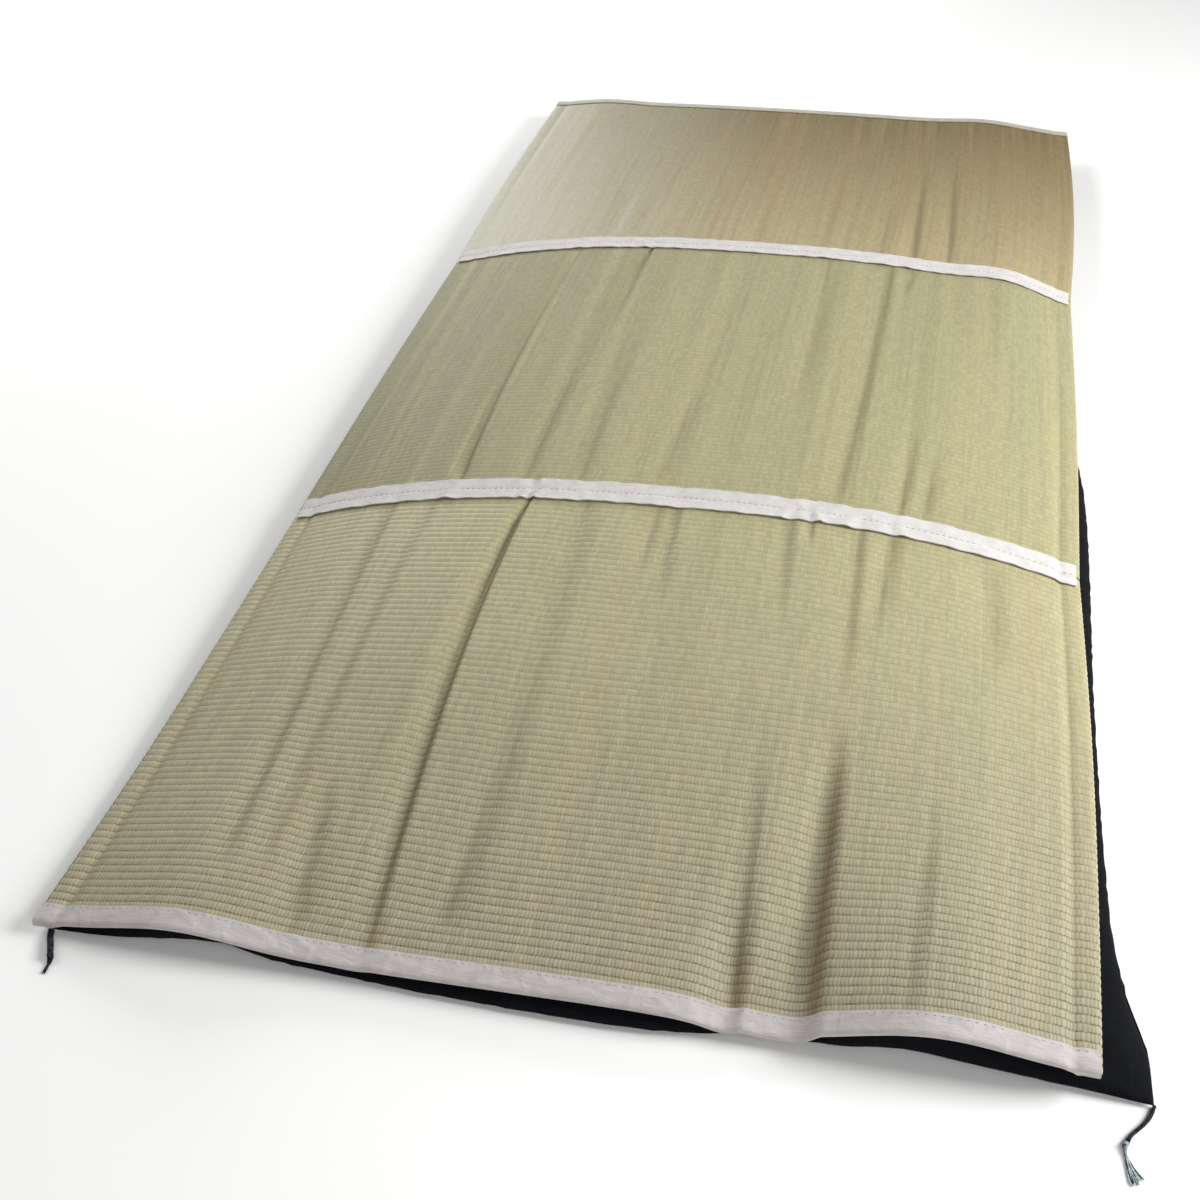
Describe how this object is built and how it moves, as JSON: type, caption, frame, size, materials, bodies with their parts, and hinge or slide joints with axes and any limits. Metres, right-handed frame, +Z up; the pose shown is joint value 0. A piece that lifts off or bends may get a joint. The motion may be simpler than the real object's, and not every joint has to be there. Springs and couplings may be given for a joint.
{
  "type": "rush sleeping mat on a futon mattress",
  "caption": "Ribbed rush sleeping mat in panels joined by pale cotton tapes, draped over a thin plain dark futon mattress with corner tassels.",
  "frame": {"origin": "on the floor, in the mattress's flat underside, below the middle of the mat", "axes": "+X across the mat to its right side seen from the foot, +Y along it from foot to head, +Z up"},
  "size_m": [0.9414, 2.0605, 0.0981],
  "materials": {
    "rush_matting": "woven rush stems in raised crosswise ribs, dry and faintly glossy",
    "cotton_tape": "matt plain-woven cotton, stitched down, slightly puckered",
    "mattress_cotton": "matt plain-woven dark cotton over cotton wadding",
    "tassel_yarn": "plied cotton yarn, soft and matt"
  },
  "bodies": {
    "root": {"rush_panel_foot": "rush_matting", "rush_panel_middle": "rush_matting", "rush_panel_head": "rush_matting", "joint_tape_foot": "cotton_tape", "joint_tape_head": "cotton_tape", "end_binding_foot": "cotton_tape", "end_binding_head": "cotton_tape", "futon_mattress": "mattress_cotton", "tassel_right": "tassel_yarn", "tassel_left": "tassel_yarn"}
  },
  "joints": []
}
